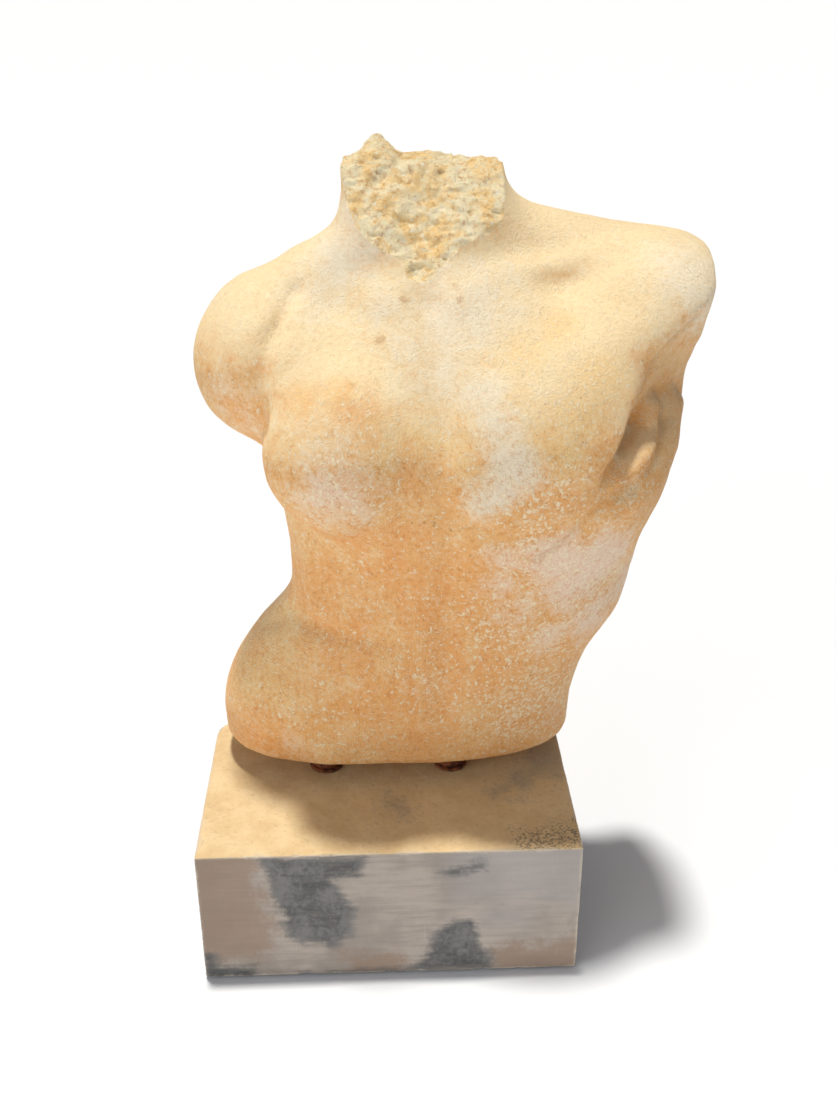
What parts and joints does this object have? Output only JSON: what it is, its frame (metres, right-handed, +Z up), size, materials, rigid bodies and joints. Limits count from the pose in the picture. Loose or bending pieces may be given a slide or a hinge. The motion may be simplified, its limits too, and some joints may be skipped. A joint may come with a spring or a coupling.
{
  "type": "stone torso sculpture on a plinth",
  "caption": "Headless, armless carved stone torso that stands clear of a rectangular stone plinth on threaded studs, and lifts straight up off them.",
  "frame": {"origin": "centre of the base sheet's underside, the face the object rests on", "axes": "+Z up, -Y the side the chest faces, +X to the viewer's right when facing the chest"},
  "size_m": [0.4113, 0.2444, 0.6667],
  "materials": {
    "torso_stone": "patinated cream and ochre, finely pitted, matt",
    "plinth_slate": "worn grey-brown slate with sandy bloom on top, matt",
    "base_felt": "dark felt",
    "rusted_steel": "red-brown rust",
    "plain_steel": "dull, lightly rusted"
  },
  "bodies": {
    "plinth": {"plinth_block": "plinth_slate", "base_sheet": "base_felt", "stud_left": "rusted_steel", "stud_right": "rusted_steel", "stud_rear": "rusted_steel", "support_washer_left": "rusted_steel", "support_washer_right": "rusted_steel", "support_washer_rear": "rusted_steel", "support_nut_left": "rusted_steel", "support_nut_right": "rusted_steel", "support_nut_rear": "rusted_steel", "clamp_washer_left": "plain_steel", "clamp_washer_right": "plain_steel", "clamp_washer_rear": "plain_steel", "clamp_nut_left": "plain_steel", "clamp_nut_right": "plain_steel", "clamp_nut_rear": "plain_steel"},
    "torso": {"torso": "torso_stone"}
  },
  "joints": [
    {"name": "torso_lift", "type": "slide", "parent": "plinth", "child": "torso", "axis": [0, 0, 1], "range_m": [0, 0.085]}
  ]
}
